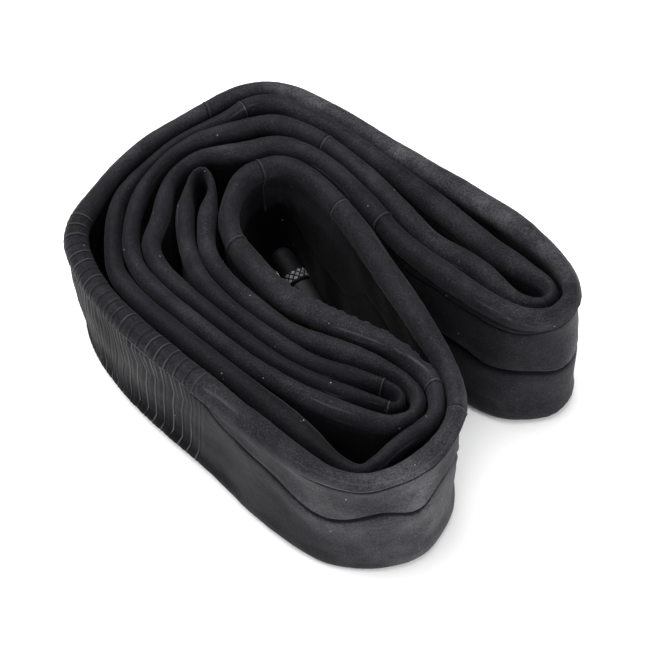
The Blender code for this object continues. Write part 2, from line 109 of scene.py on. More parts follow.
# Places along the band are given in millimetres travelled from the route's first point.
OUTER_WALL = (215, 1690)            # the outermost band leaves the outer wall, and comes back to it
OUTER_WALL_FADE = 12
RIB_START, RIB_END, RIB_PITCH = -16.0, 77.0, 4.35
SEAM_RINGS = (184, 279, 316, 354, 444, 696, 945, 1441, 1456, 1686, 1939)
LONG_RINGS = (184, 316)             # those that show far down a wall
SERRATED = (366, 446)               # the hollow's front wall, whose folded edge is rough inside
RIGHT_WALL = (205, 275)             # the hollow's wall to the right of the valve
RIGHT_WALL_FADE = 12
FAR_END = (268, 366)                # the hollow's far end,
FAR_END_FADE = 14
FAR_CREASE = 22.0                   # and how far below the top its wall is creased
RIB_HEIGHT, RIB_WIDTH = 0.27, 0.30
RING_HEIGHT, RING_WIDTH = 0.24, 0.30

# The cross-sections on each rib and ring, from its crest, and how far apart they are elsewhere
RIB_STATIONS = (-1.3, -0.62, -0.32, -0.13, 0.13, 0.32, 0.62, 1.3, 1.85, 2.175, 2.5)
RING_STATIONS = (-1.4, -0.7, -0.36, -0.13, 0.13, 0.36, 0.7, 1.4)
ROUGH_GAP, WIDEST_GAP, LEAST_GAP = 1.0, 2.4, 0.12

# The line under the folded edge, and the wavy crease lower down, on the outer wall: (travelled, height)
UPPER_CREASE = (
    (-30, 47), (0, 47), (17, 51), (40, 53.5), (70, 54), (90, 52), (115, 52.5), (135, 54), (150, 55.5),
    (170, 55), (200, 54), (1690, 47), (1734, 47.5), (1748, 49), (1760, 52), (1780, 54), (1815, 52),
    (1860, 50), (1910, 51.5), (1960, 49),
)
WAVY_CREASE = (
    (60, 50.5), (72, 50), (81, 47), (92, 42), (105, 39.5), (114, 37.5), (120, 33), (126, 29.5), (132, 30.5),
    (140, 36), (147, 37.5), (156, 32), (163, 33), (168, 39), (174, 40.5), (182, 36), (195, 26), (1700, 30),
    (1725, 28), (1742, 26.5), (1755, 28), (1764, 26), (1775, 31), (1800, 34), (1818, 30), (1845, 33),
    (1862, 40), (1885, 42), (1905, 34), (1922, 31), (1950, 40), (1975, 46),
)
# Where the band's top dips below its neighbours: (travelled, depth)
DIPS = (
    (0, 0.3), (60, 0), (150, 0.4), (230, 0), (300, 0.8), (340, 0.3), (420, 0.2), (458, 1.2), (478, 3.2),
    (492, 4.6), (508, 3.0), (540, 0.8), (600, 0.5), (625, 2.2), (650, 4.2), (675, 3.6), (696, 0.8),
    (740, 0.4), (800, 1.2), (835, 3.4), (850, 3.0), (880, 1.2), (960, 0), (1040, 0.4), (1120, 1.0),
    (1168, 2.6), (1185, 3.0), (1210, 1.4), (1280, 0.6), (1312, 1.6), (1340, 1.0), (1420, 1.2), (1450, 2.8),
    (1470, 2.4), (1520, 0.9), (1570, 0.2), (1640, 0), (1740, 0.6), (1770, 0.8), (1840, 0.3), (1880, 1.0),
    (1925, 1.5), (1960, 0.6),
)

# The walls lean and bulge a little: (heading, shift at the foot, at half height, at the top, where it starts,
# where it is full). Shifts are (x, y) in millimetres, and start and end are millimetres along the heading.
LEANS = (
    ((-0.75, -0.66), (4.2, 3.7), (0, 0), (0, 0), 18, 56),
    ((0.66, -0.75), (-1.8, -1.6), (0, 0), (0, 0), -8, 38),
    ((0.20, -0.98), (0, 3.6), (0, 0), (0, 0), 78, 92),
    ((0.80, -0.60), (0.6, 0.3), (0, 0), (0, 0), 52, 66),
    ((-0.93, 0.37), (0.9, -0.7), (-1.7, 0.2), (1.8, -1.3), 60, 80),
    ((1.0, 0.0), (2.6, 0), (1.2, 0), (-1.5, 0), 70, 84),
    ((1.0, 0.0), (0, -0.9), (0, 0), (0, 0), 45, 58),
    ((1.0, 0.0), (0, 1.5), (0, 0), (0, 0), 60, 72),
    ((0.1, 0.99), (0, 0), (0, 0), (0, -0.7), 80, 88),
)
# The wall to the right of the valve leans in over the floor: where, which way, and how far at its foot
LEAN_IN_FROM, LEAN_IN_TO = (205, 265), (305, 275)
LEAN_IN = np.array((-0.85, -0.53)) * 7


def catmull_rom(four, share):
    """A point of the centripetal curve between the middle two of four points."""
    knots = [0.0]
    for a, b in zip(four, four[1:]):
        knots.append(knots[-1] + math.sqrt(np.linalg.norm(b - a)))
    t = knots[1] + (knots[2] - knots[1]) * share
    row = list(four)
    for width, first in ((1, 0), (2, 0), (1, 1)):
        spans = [(knots[i + first], knots[i + first + width]) for i in range(len(row) - 1)]
        row = [a + (b - a) * (t - start) / (end - start) for a, b, (start, end) in zip(row, row[1:], spans)]
    return row[0]


def route_curve():
    points = np.array(ROUTE) * MM
    count = len(points)
    curve = []
    for i in range(count):
        four = [points[(i + k) % count] for k in (-1, 0, 1, 2)]
        curve += [catmull_rom(four, k / ROUTE_SAMPLES) for k in range(ROUTE_SAMPLES)]
    return np.array(curve)


def travelled_along(curve):
    """The distance travelled to each point, and from it to the next."""
    steps = np.linalg.norm(np.roll(curve, -1, axis=0) - curve, axis=1)
    return np.concatenate(([0.0], np.cumsum(steps)[:-1])), steps


def half_thicknesses(curve):
    """Half the band's thickness at each step: the folds swell until they meet the next stretch."""
    travelled, steps = travelled_along(curve)
    apart = np.abs(travelled[:, None] - travelled[None, :])
    apart = np.minimum(apart, steps.sum() - apart)
    distance = np.linalg.norm(curve[:, None] - curve[None, :], axis=2)
    distance[apart < SAME_STRETCH] = np.inf
    room = (distance.min(axis=1) - CLEARANCE) / 2
    ahead = np.roll(curve, -1, axis=0) - curve
    heading = np.unwrap(np.arctan2(ahead[:, 1], ahead[:, 0]))
    turn = np.abs(np.roll(heading, -2) - heading)
    turn = np.minimum(turn, np.abs(turn - 2 * math.pi * np.round(turn / (2 * math.pi)))) + 1e-9
    bend = (steps + np.roll(steps, -1)) / turn
    room = np.minimum(np.minimum(room, BEND_SHARE * bend), FULL_HALF_THICKNESS)
    near = apart < SMOOTHING
    lowest = np.where(near, room[None, :], np.inf).min(axis=1)
    return (near * lowest[None, :]).sum(axis=1) / near.sum(axis=1)


def smooth_loop(values, reach):
    """Averages a closed row of values over a few neighbours each way."""
    weights = np.hanning(2 * reach + 3)[1:-1]
    weights /= weights.sum()
    total = np.zeros_like(values)
    for k, weight in zip(range(-reach, reach + 1), weights):
        total += weight * np.roll(values, k, axis=0)
    return total


def loop_interp(at, travelled, values, length):
    """Reads a closed row of values at the given distances."""
    xs = np.concatenate((travelled, [length]))
    at = np.mod(at, length)
    if values.ndim == 1:
        return np.interp(at, xs, np.concatenate((values, values[:1])))
    ring = np.concatenate((values, values[:1]))
    return np.stack([np.interp(at, xs, ring[:, c]) for c in range(values.shape[1])], axis=1)


def along_list(pairs, at, length):
    """Reads a given list of (millimetres travelled, value) smoothly all round the loop."""
    pairs = sorted((place % (length / MM), value) for place, value in pairs)
    xs = np.array([p[0] for p in pairs]) * MM
    ys = np.array([p[1] for p in pairs], float)
    xs = np.concatenate((xs[-1:] - length, xs, xs[:1] + length))
    ys = np.concatenate((ys[-1:], ys, ys[:1]))
    spread = range(-4, 5)
    return sum(np.interp(at + k * 0.8 * MM, xs, ys) for k in spread) / len(spread)


def rise(value, start, end):
    """0 at start, 1 at end, and level beyond them. It falls where end is below start."""
    return np.clip((value - start) / (end - start), 0, 1)


def between(at, start, end, fade):
    """1 between two places, falling to 0 at them."""
    return np.clip((at - start) / fade, 0, 1) * np.clip((end - at) / fade, 0, 1)


def bump(distance, width):
    return np.exp(-(distance / width) ** 2)


def smoothstep(share):
    return share * share * (3 - 2 * share)


class Noise:
    """A smooth seeded ripple over distance along the band and height up it."""

    def __init__(self, seed, wave, count=14):
        draw = np.random.default_rng(seed)
        self.along = draw.normal(0, 1, count) / wave
        self.up = draw.normal(0, 1, count) / wave
        self.phase = draw.uniform(0, 2 * math.pi, count)
        self.scale = math.sqrt(2 / count)

    def __call__(self, along, up):
        total = 0
        for a, u, phase in zip(self.along, self.up, self.phase):
            total = total + np.sin(2 * math.pi * (a * along + u * up) + phase)
        return total * self.scale


def pick_stations(length):
    """Distances of the cross-sections: several on each rib and ring, and a few millimetres apart elsewhere."""
    end = length / MM
    ribs = np.arange(RIB_START - RIB_PITCH, RIB_END + 2 * RIB_PITCH, RIB_PITCH)
    close = [rib + offset for rib in ribs for offset in RIB_STATIONS]
    close += [ring + offset for ring in SEAM_RINGS for offset in RING_STATIONS]
    close += list(np.arange(*SERRATED, ROUGH_GAP))
    close = sorted(place % end for place in close)
    spots = []
    for here, after in zip(close, close[1:] + [close[0] + end]):
        gap = after - here
        if gap >= LEAST_GAP:
            fill = math.ceil(gap / WIDEST_GAP)
            spots += [here + gap * k / fill for k in range(fill)]
    return np.array(sorted(place % end for place in spots)) * MM


def signed_place(along, length):
    """Millimetres travelled, counted back from the route's start over the loop's second half."""
    at = along / MM
    return np.where(at > length / MM / 2, at - length / MM, at)


def shown_wall(along):
    """1 where the band's right side is the bundle's outer wall, else 0."""
    leaves, returns = OUTER_WALL
    at = along / MM
    return np.maximum(rise(at, leaves, leaves - OUTER_WALL_FADE), rise(at, returns, returns + OUTER_WALL_FADE))


def rib_sway(stations, heights, top, length):
    """How far along the band the ribs have wandered at each height, in millimetres."""
    at = signed_place(stations[:, None], length)
    down = np.maximum(top[:, None] - heights, 0) / MM
    sway = 2.0 * np.sin(down / 17) + 0.5 * np.sin(down / 4.2 + at / 19) - 0.13 * down
    sway = sway * rise(down, 0, 6) * (0.35 + 0.65 * rise(at, 0, 45))
    return sway * rise(at, RIB_START - 24, RIB_START - 2) * rise(at, RIB_END + 14, RIB_END + 2)


# ---- the cross-section ------------------------------------------------------------------------------

EDGE_RADIUS = 4.6 * MM              # half the height of the folded edge
EDGE_FADE = 6.5 * MM                # below it, the fold narrows to the flat web
EDGE_NARROWING = 0.86               # the lower folded edge's width as a share of the upper one's
EDGE_STEPS = 8
FADE_STEPS = 4
WAVY_ROWS = (-2.4, -1.2, -0.5, 0.0, 0.5, 1.2, 2.4)      # rows of points, in millimetres above each crease
UPPER_ROWS = (-1.8, -0.8, -0.3, 0.1, 0.6, 1.4)


def side_rows(half, web, upper, wavy, top):
    """Heights and half widths of one side of the section, from the bottom to the top, for every station.
    Rows stay together at the two creases, so that the creases run along the mesh."""
    count = len(half)
    foot = half * EDGE_NARROWING
    heights, widths = [], []

    def row(height, width):
        heights.append(np.broadcast_to(height, count))
        widths.append(np.broadcast_to(width, count))

    def rows_up(low, high):
        for k in (1, 2, 3):
            row(low + (high - low) * k / 4, web)

    for k in range(EDGE_STEPS):
        angle = math.pi / 2 * (1 - (k + 0.5) / EDGE_STEPS)
        row(EDGE_RADIUS * (1 - math.sin(angle)), foot * math.cos(angle))
    for k in range(1, FADE_STEPS + 1):
        share = k / FADE_STEPS
        row(EDGE_RADIUS + EDGE_FADE * share, web + (foot - web) * (0.5 + 0.5 * math.cos(math.pi * share)))
    rows_up(EDGE_RADIUS + EDGE_FADE, wavy + WAVY_ROWS[0] * MM)
    for offset in WAVY_ROWS:
        row(wavy + offset * MM, web)
    rows_up(wavy + WAVY_ROWS[-1] * MM, upper + UPPER_ROWS[0] * MM)
    for offset in UPPER_ROWS:
        share = np.clip((top - EDGE_RADIUS - upper - offset * MM) / EDGE_FADE, 0, 1)
        row(upper + offset * MM, web + (half - web) * (0.5 + 0.5 * np.cos(math.pi * share)))
    last = upper + UPPER_ROWS[-1] * MM
    start = np.arcsin(np.clip((last - (top - EDGE_RADIUS)) / EDGE_RADIUS, -0.98, 0.8))
    for k in range(EDGE_STEPS + 2):
        angle = start + (math.pi / 2 - start) * (k + 0.6) / (EDGE_STEPS + 2.1)
        row(top - EDGE_RADIUS + EDGE_RADIUS * np.sin(angle), half * np.cos(angle))
    return np.array(heights).T, np.array(widths).T


# How dusty the outer wall and the tops are. 1 is well covered, and below 0 is clean rubber going towards the
# painted deep shade: (travelled, dust)
WALL_DUST = (
    (-60, -0.02), (0, -0.02), (70, 0.03), (84, 0.62), (120, 1.2), (145, 1.15), (160, 1.6), (185, 1.4),
    (215, 0.1), (1690, 0.1), (1735, 0.2), (1758, 0.75), (1772, 1.5), (1790, 1.35), (1830, 0.7), (1880, 0.9),
    (1930, 0.6), (1980, 0.3), (2000, 0.12),
)
# over the back band, 1755 to 1930, the tops' high values are dust and a painted sheen
TOP_DUST_AND_SHEEN = (
    (0, 0.42), (40, 0.36), (60, 0.42), (90, 0.65), (130, 0.85), (155, 1.45), (175, 1.35), (190, 0.8),
    (215, 0.5), (300, 0.45), (345, 0.5), (395, 0.55), (425, 0.6), (460, 0.4), (500, 0.18), (560, 0.18),
    (620, 0.34), (700, 0.55), (760, 0.42), (800, 0.5), (850, 0.75), (900, 0.5), (960, 0.4), (1040, 0.5),
    (1100, 0.5), (1160, 0.6), (1200, 0.5), (1260, 0.5), (1312, 0.58), (1350, 0.45), (1395, 0.30),
    (1450, 0.16), (1520, 0.2), (1570, 0.5), (1620, 0.5), (1660, 0.38), (1710, 0.30), (1755, 1.1),
    (1785, 1.0), (1840, 1.45), (1880, 1.45), (1930, 0.85), (1975, 0.7), (2005, 0.35),
)


# Faint painted sheen streaks along the folded edges: (seed, how far down, side)
STREAKS = ((71, 1.3, -1), (72, 3.6, -1), (73, 2.4, 1), (74, 5.6, -1))


def section_grid(stations, half, length):
    """Every station's ring of points: how far across and how high each is, and its side (1 left, -1 right).
    Then the heights of the top and of the creases at every station."""
    level = 0 * stations
    web = np.minimum(half * WEB_SHARE + WEB_EXTRA, half * WEB_LIMIT)
    dip = along_list(DIPS, stations, length) * MM
    top = BAND_HEIGHT - dip - 0.35 * MM + 0.3 * MM * np.clip(Noise(11, 70 * MM)(stations, level), -1, 1)
    top = np.minimum(top, BAND_HEIGHT)
    inner_upper = top - 9.5 * MM
    inner_wavy = 31 * MM + 7 * MM * np.clip(Noise(8, 80 * MM)(stations, level), -1, 1)
    # the listed creases are those of the outer wall, and drift freely elsewhere
    on_show = shown_wall(stations)
    drift = 30 * MM + 6 * MM * np.clip(Noise(5, 90 * MM)(stations, level), -1, 1)
    wavy = along_list(WAVY_CREASE, stations, length) * MM * on_show + (1 - on_show) * drift
    upper = along_list(UPPER_CREASE, stations, length) * MM - 0.6 * dip
    upper = np.minimum(upper * on_show + (1 - on_show) * inner_upper, top - 3.2 * MM)
    outer_z, outer_w = side_rows(half, web, upper, wavy, top)
    inner_z, inner_w = side_rows(half, web, inner_upper, inner_wavy, top)
    heights = np.concatenate((inner_z, outer_z[:, ::-1]), axis=1)
    across = np.concatenate((inner_w, -outer_w[:, ::-1]), axis=1)
    sides = np.concatenate((np.ones_like(inner_z), -np.ones_like(outer_z)), axis=1)
    return across, heights, sides, top, (upper, wavy, inner_upper, inner_wavy)


class Surface:
    """Where every point of the tube's skin is, before its dust and its moulded detail are added. Heights and
    distances ending in _m are metres, and the rest are millimetres."""

    def __init__(self, stations, heights, sides, top, creases, length):
        self.stations_m, self.heights_m, self.length_m = stations, heights, length
        self.along_m = np.broadcast_to(stations[:, None], heights.shape)
        self.at = self.along_m / MM
        self.signed = signed_place(self.along_m, length)
        self.height = heights / MM
        self.down = (top[:, None] - heights) / MM
        self.sides = sides
        self.outer = sides < 0
        upper, wavy, inner_upper, inner_wavy = (crease[:, None] / MM for crease in creases)
        self.upper = np.where(self.outer, upper, inner_upper)
        self.wavy = np.where(self.outer, wavy, inner_wavy)
        self.on_show = np.where(self.outer, shown_wall(self.along_m), 0.0)
        self.ribbed = between(self.signed, RIB_START - 2, RIB_END + 2, 4)
        self.far_end = np.where(self.outer, 0.0, between(self.at, *FAR_END, FAR_END_FADE))

    def noise(self, seed, wave, count=14):
        return Noise(seed, wave * MM, count)(self.along_m, self.heights_m)

    def noise_along(self, seed, wave):
        return Noise(seed, wave * MM)(self.along_m, 0 * self.heights_m)


def cover_dust_and_painted_light(s):
    """How dusty each point is: the tops and the outer wall are, and the walls between the folds aren't. Deep
    between the folds it is below 0: painted shade, near black where the folds shade each other. Painted light
    lightens the hollow's far end down to its crease, and over the back band the tops' value is also a painted
    sheen."""
    crest = rise(s.down, 10, 3)
    on_top = along_list(TOP_DUST_AND_SHEEN, s.stations_m, s.length_m)[:, None]
    wall = along_list(WALL_DUST, s.stations_m, s.length_m)[:, None] * s.on_show
    # on the front it thins out below the wavy crease, and near the ribs the wall is darker towards the foot
    wall = wall * (1 - 0.75 * rise(s.wavy - s.height, 6, 15) * rise(s.at, 150, 125))
    wall = wall - np.where(s.outer, 0.45, 0.0) * rise(s.height, 26, 10) * rise(s.at, 95, 75)
    # painted shade: the wall to the right of the valve goes near black from its edge down. Painted light: the
    # far end is lightened down to its crease, and the painted shade stops there
    right = np.where(s.outer, 0.0, between(s.at, *RIGHT_WALL, RIGHT_WALL_FADE))
    deep = np.maximum(rise(s.down, 10, 26), right * rise(s.down, 5, 11)) * (1 - s.on_show)
    lit = s.far_end * rise(s.down, FAR_CREASE, FAR_CREASE - 1)
    patch = 0.8 + 0.2 * np.clip(s.noise(41, 45), -1, 1)
    return (crest * on_top + (1 - crest) * (wall + 0.30 * lit)) * patch - 0.6 * deep * (1 - lit)


# ---- moulded detail ---------------------------------------------------------------------------------

# Each function gives how far every point stands out from the plain section, in millimetres, and the lines to
# colour: above 0 a painted highlight on ridges, below 0 painted shade in grooves.

def rib_detail(s):
    """Ribs over the folded edge and down the outer wall; the cross-sections sway with them."""
    phase = (s.signed - RIB_START) / RIB_PITCH
    off_rib = (phase - np.round(phase)) * RIB_PITCH
    on = s.ribbed * np.where(s.outer, 1.0, rise(s.down, 4.5, 2.0))
    patchy_highlight = 0.7 + 0.3 * np.clip(s.noise(51, 14), -1, 1)
    scallop = 0.10 * np.cos(2 * math.pi * off_rib / RIB_PITCH)
    stand = (RIB_HEIGHT * bump(off_rib, RIB_WIDTH) - scallop) * on
    # a painted highlight along each rib's crest, patchy
    line = np.where(s.down < 8, 0.85, 1.3) * bump(off_rib, 0.27) * on * patchy_highlight
    # painted shade in a groove beside each rib, over the folded edge
    line -= 0.8 * bump(off_rib - 0.62, 0.3) * on * rise(s.down, 10, 7)
    # short folds half way between them, just under the edge, each with a painted highlight
    half_way = np.abs(off_rib) - RIB_PITCH / 2
    short = s.ribbed * s.outer * bump(s.down - 12.5, 4.0) * rise(s.signed, 0, 20)
    stand += 0.22 * bump(half_way, 0.35) * short
    line += 0.9 * bump(half_way, 0.3) * short * patchy_highlight
    return stand, line


def ring_detail(s):
    """Thin mould rings over the folded edges, each with a groove beside it. Each ring gets a painted highlight
    and its groove painted shade.
    """
    stand, line = 0, 0
    for place in SEAM_RINGS:
        reach = 16 if place in LONG_RINGS else 7
        fade = rise(s.down, reach + 12, reach)
        ring, groove = s.at - place, s.at - place - 0.7
        stand = stand + (RING_HEIGHT * bump(ring, RING_WIDTH) - 0.10 * bump(groove, 0.3)) * fade
        line = line + (0.7 * bump(ring, 0.3) - 0.9 * bump(groove, 0.35)) * fade
    return stand, line


def streak_detail(s):
    line = 0
    for seed, depth, side in STREAKS:
        off = s.down - depth - 0.5 * s.noise_along(seed + 10, 80)
        patches = np.clip(s.noise_along(seed, 46) - 0.1, 0, 1)
        # painted sheen: pale streaks in patches along the folded edge
        line = line + 0.62 * bump(off, 0.4) * patches * (s.sides == side)
    return 0, line * (1 - s.ribbed)


def lip_detail(s):
    """The line under the folded edge: a lip with a groove under it, with a painted highlight on the lip and
    painted shade in the groove.
    """
    off = s.height - s.upper
    stand = np.where(s.outer, s.on_show, 0.22) * (0.30 * bump(off - 1.1, 0.8) - 1.0 * bump(off + 0.1, 0.55))
    return stand, s.on_show * (1.0 * bump(off - 0.9, 0.45) - 2.0 * bump(off + 0.1, 0.6))


def crease_detail(s):
    """The wavy crease: a ridge with a sharp groove under it. It is faint on the inner walls. On the outer wall
    the ridge gets a painted highlight and the groove painted shade.
    """
    off = s.height - s.wavy
    beside_ribs = rise(s.signed, 67, 75) + (s.at > 1000) * rise(s.at, 1990, 1960)
    depth = np.where(s.outer, s.on_show * beside_ribs, 0.15) * (0.75 + 0.25 * np.sin(s.at / 17.0))
    stand = depth * (0.6 * bump(off - 2.0, 0.9) - 1.7 * bump(off + 0.1, 1.1) + 0.3 * bump(off + 2.0, 1.1))
    return stand, depth * s.outer * (0.9 * bump(off - 1.7, 0.5) - 2.4 * bump(off + 0.1, 1.0))


def far_crease_detail(s):
    """The crease round the hollow's far end, with a painted highlight just above it and painted shade just
    below it.
    """
    off = s.down - FAR_CREASE
    stand = s.far_end * (0.35 * bump(off + 1.3, 0.9) - 0.6 * bump(off - 0.4, 0.8))
    return stand, s.far_end * (0.55 * bump(off + 0.8, 0.55) - 1.2 * bump(off - 0.6, 0.9))


def uneven_detail(s):
    """The rubber's own unevenness, and faint wrinkles across the folds."""
    edge = rise(s.down, 11.5, 7.5)
    foot = rise(s.height, 10, 6)
    slow = s.noise(21, 34)
    stand = 0.22 * slow * (1 - edge) * (1 - foot) + 0.07 * slow + 0.035 * s.noise(22, 9, 20)
    wrinkles = np.sin(s.at * 2 * math.pi / 2.6 + 1.5 * np.sin(s.at / 9))
    return stand + 0.05 * wrinkles * edge * np.clip(s.noise_along(31, 60) - 0.2, 0, 1), 0


def rough_detail(s):
    """Crumbs on the far side of the hollow's front wall; the tallest get a painted highlight."""
    crumbs = np.clip(s.noise(61, 5, 24) + 0.4 * s.noise(62, 2.6, 24), 0, 1.4)
    rough = np.where(s.outer, 0.0, between(s.at, *SERRATED, 8)) * bump(s.down - 3.0, 2.6)
    return 0.55 * rough * crumbs, 0.5 * rough * np.clip(crumbs - 0.5, 0, 1)


DETAILS = (
    rib_detail, ring_detail, streak_detail, lip_detail, crease_detail, far_crease_detail, uneven_detail,
    rough_detail,
)


# ---- the skin ---------------------------------------------------------------------------------------

def lean(flat, heights, at):
    """How far the walls' leaning and bulging shifts each point."""
    below = np.clip(1 - heights / BAND_HEIGHT, 0, 1)[:, :, None]
    bulge = 4 * below * (1 - below)
    shift = np.zeros_like(flat)
    for toward, foot, waist, crest, start, full in LEANS:
        share = smoothstep(rise(flat @ np.array(toward) / MM, start, full))[:, :, None]
        shift += share * (below * np.array(foot) + bulge * np.array(waist) + (1 - below) * np.array(crest)) * MM
    inward = smoothstep(rise(at, *LEAN_IN_FROM) * rise(at, *LEAN_IN_TO))[:, :, None]
    return shift + inward * below ** 1.5 * LEAN_IN * MM


def bundle_middle(curve, half):
    """The middle of the bundle's box, seen from above."""
    heading = np.roll(curve, -1, axis=0) - np.roll(curve, 1, axis=0)
    heading /= np.linalg.norm(heading, axis=1)[:, None]
    side = np.stack((-heading[:, 1], heading[:, 0]), axis=1)
    edges = np.concatenate((curve + side * half[:, None], curve - side * half[:, None]))
    return (edges.min(axis=0) + edges.max(axis=0)) / 2


def tube_points(curve):
    """The tube's surface, as (stations, ring points, 3), with its lines of painted highlight and shade, and its
    dust with painted light and shade.
    """
    travelled, steps = travelled_along(curve)
    length = steps.sum()
    curve_half = half_thicknesses(curve)
    soft = smooth_loop(curve, 2)
    heading = np.roll(soft, -1, axis=0) - np.roll(soft, 1, axis=0)
    heading = smooth_loop(heading / np.linalg.norm(heading, axis=1)[:, None], 1)
    stations = pick_stations(length)
    half = loop_interp(stations, travelled, curve_half, length)
    across, heights, sides, top, creases = section_grid(stations, half, length)
    surface = Surface(stations, heights, sides, top, creases, length)
    swayed = (surface.along_m + rib_sway(stations, heights, top, length) * MM).ravel()
    centre = loop_interp(swayed, travelled, soft, length).reshape(*across.shape, 2)
    direction = loop_interp(swayed, travelled, heading, length).reshape(*across.shape, 2)
    direction /= np.linalg.norm(direction, axis=2)[:, :, None]
    side = np.stack((-direction[:, :, 1], direction[:, :, 0]), axis=2)
    stands, lines = zip(*(detail(surface) for detail in DETAILS))

    # the detail stands out square to each ring's outline, and less where the band is squeezed thin
    step_a = np.roll(across, -1, axis=1) - np.roll(across, 1, axis=1)
    step_z = np.roll(heights, -1, axis=1) - np.roll(heights, 1, axis=1)
    size = np.hypot(step_a, step_z) + 1e-9
    stand = sum(stands) * MM * np.clip(half / (2.2 * MM), 0.3, 1)[:, None]
    across = across + step_z / size * stand
    heights = heights - step_a / size * stand

    flat = centre + side * across[:, :, None] - bundle_middle(curve, curve_half)
    flat = flat + lean(flat, heights, surface.at)
    points = np.concatenate((flat, np.maximum(heights, 0)[:, :, None]), axis=2)
    return points, sum(lines), cover_dust_and_painted_light(surface)


def grid_object(name, points, marks):
    """A closed loop of rings as one mesh, smooth shaded, with its marks as point attributes."""
    rings, sides = points.shape[:2]
    index = np.arange(rings * sides).reshape(rings, sides)
    around = np.roll(index, -1, axis=1)
    onward = np.roll(index, -1, axis=0)
    both = np.roll(onward, -1, axis=1)
    quads = np.stack((index, around, both, onward), axis=2).reshape(-1, 4)
    mesh = bpy.data.meshes.new(name)
    mesh.vertices.add(rings * sides)
    mesh.vertices.foreach_set("co", points.reshape(-1).astype(np.float32))
    mesh.loops.add(quads.size)
    mesh.loops.foreach_set("vertex_index", quads.reshape(-1).astype(np.int32))
    mesh.polygons.add(len(quads))
    mesh.polygons.foreach_set("loop_start", np.arange(0, quads.size, 4, dtype=np.int32))
    mesh.update(calc_edges=True)
    mesh.validate()
    mesh.shade_smooth()
    for mark, values in marks.items():
        attribute = mesh.attributes.new(mark, "FLOAT", "POINT")
        attribute.data.foreach_set("value", values.reshape(-1).astype(np.float32))
    obj = bpy.data.objects.new(name, mesh)
    bpy.context.scene.collection.objects.link(obj)
    return obj


# ---- materials --------------------------------------------------------------------------------------

CLEAN_RUBBER = ((0.0027, 0.0025, 0.0035), (0.0047, 0.0043, 0.0058))
DUSTY_RUBBER = ((0.0242, 0.0237, 0.0288), (0.0354, 0.0348, 0.0413))
THICK_DUST = (0.1250, 0.1250, 0.1333)
SMEAR = (0.0500, 0.0500, 0.0533)
DUST_GRAIN = (0.0833, 0.0833, 0.0900)
PAINTED_DEEP_SHADE = (0.0008, 0.0008, 0.0010)
PAINTED_RIDGE_HIGHLIGHT = (0.0750, 0.0750, 0.0800)
PAINTED_GROOVE_SHADE = (0.0022, 0.0022, 0.0027)
WHITE_SPECK = (0.2667, 0.2667, 0.2750)
VALVE_RUBBER = (0.0030, 0.0030, 0.0035)
SEAL_RUBBER = (0.28, 0.045, 0.035)
BRASS = (0.72, 0.53, 0.26)
SPRING_STEEL = (0.60, 0.60, 0.58)
STEM_SKIN = (0.0040, 0.0040, 0.0045)
CAP_PLASTIC = ((0.0023, 0.0023, 0.0028), (0.0038, 0.0038, 0.0044))
CAP_CREST_HIGHLIGHT = (0.1250, 0.1250, 0.1300)
FLOOR_COLOURS = ((0.93, 0.93, 0.93), (0.95, 0.95, 0.95))


class Shader:
    """Builds one material's nodes with short calls."""

    def __init__(self, name):
        self.material = bpy.data.materials.new(name)
        self.material.use_nodes = True
        self.tree = self.material.node_tree
        self.out = self.tree.nodes["Principled BSDF"]
        self.place = self.add("ShaderNodeTexCoord").outputs["Object"]

    def add(self, kind, **settings):
        node = self.tree.nodes.new(kind)
        for key, value in settings.items():
            setattr(node, key, value)
        return node

    def link(self, source, target):
        self.tree.links.new(source, target)

    def noise(self, scale, detail=3.0, roughness=0.55, stretch=None):
        node = self.add("ShaderNodeTexNoise")
        node.inputs["Scale"].default_value = scale
        node.inputs["Detail"].default_value = detail
        node.inputs["Roughness"].default_value = roughness
        source = self.place
        if stretch:
            mapping = self.add("ShaderNodeMapping")
            mapping.inputs["Scale"].default_value = stretch
            self.link(self.place, mapping.inputs["Vector"])
            source = mapping.outputs["Vector"]
        self.link(source, node.inputs["Vector"])
        return node.outputs["Fac"]

    def attribute(self, name):
        node = self.add("ShaderNodeAttribute", attribute_name=name)
        return node.outputs["Fac"]

    def ramp(self, source, low, high, to_low=0.0, to_high=1.0):
        node = self.add("ShaderNodeMapRange", interpolation_type="SMOOTHSTEP")
        self.link(source, node.inputs["Value"])
        for key, value in (("From Min", low), ("From Max", high), ("To Min", to_low), ("To Max", to_high)):
            node.inputs[key].default_value = value
        return node.outputs["Result"]

    def math(self, operation, first, second):
        node = self.add("ShaderNodeMath", operation=operation)
        for socket, value in zip(node.inputs, (first, second)):
            if isinstance(value, (int, float)):
                socket.default_value = value
            else:
                self.link(value, socket)
        return node.outputs["Value"]

    def mix(self, share, first, second):
        node = self.add("ShaderNodeMix", data_type="RGBA")
        if isinstance(share, (int, float)):
            node.inputs[0].default_value = share
        else:
            self.link(share, node.inputs[0])
        for socket, value in ((node.inputs[6], first), (node.inputs[7], second)):
            if isinstance(value, tuple):
                socket.default_value = (*value, 1.0)
            else:
                self.link(value, socket)
        return node.outputs[2]

    def bump(self, height, distance, strength=1.0, under=None):
        node = self.add("ShaderNodeBump")
        node.inputs["Distance"].default_value = distance
        node.inputs["Strength"].default_value = strength
        self.link(height, node.inputs["Height"])
        if under:
            self.link(under, node.inputs["Normal"])
        return node.outputs["Normal"]


